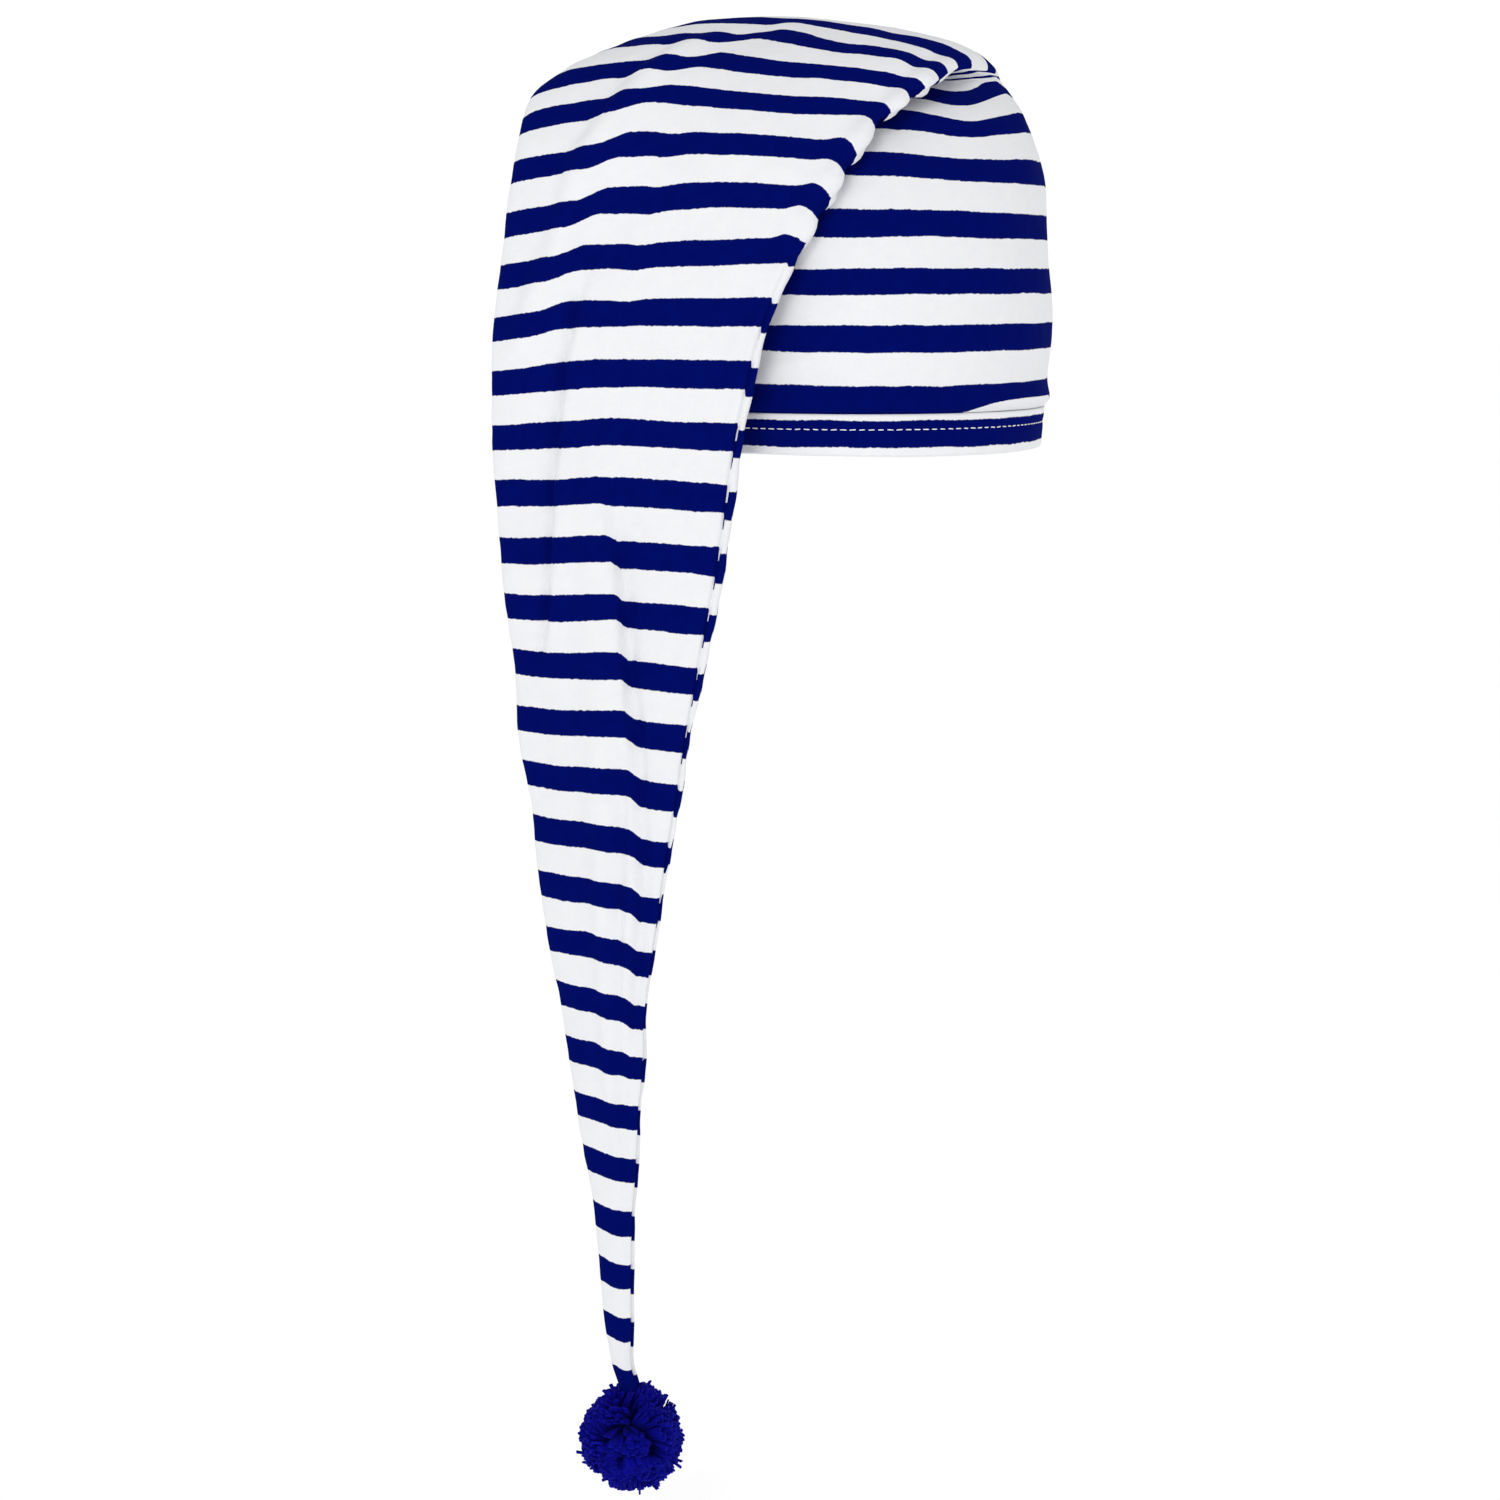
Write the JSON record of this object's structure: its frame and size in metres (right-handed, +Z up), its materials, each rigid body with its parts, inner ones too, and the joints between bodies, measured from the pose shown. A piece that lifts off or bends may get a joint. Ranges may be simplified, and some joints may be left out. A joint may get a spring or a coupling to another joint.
{
  "type": "long striped nightcap with a pompom",
  "caption": "Long knitted nightcap as it hangs when worn: a round open crown with a turned hem, a tapering tail folded over to one side, and a yarn pompom at its tip.",
  "frame": {"origin": "middle of the head opening, in the plane of the hem's lower edge", "axes": "+Z up out of the wearer's head, -Y to the front where the tail hangs, +X to the right as seen from the front"},
  "size_m": [0.2597, 0.2059, 0.6803],
  "materials": {
    "striped_jersey": "matt cotton jersey, white with even navy blue stripes",
    "hem_jersey": "the same jersey turned up, navy blue over a narrow white edge, with a line of white stitches",
    "pompom_yarn": "cut navy blue yarn, fluffy and matt"
  },
  "bodies": {
    "root": {"cap_body": "striped_jersey", "hem_band": "hem_jersey", "pompom": "pompom_yarn"}
  },
  "joints": []
}
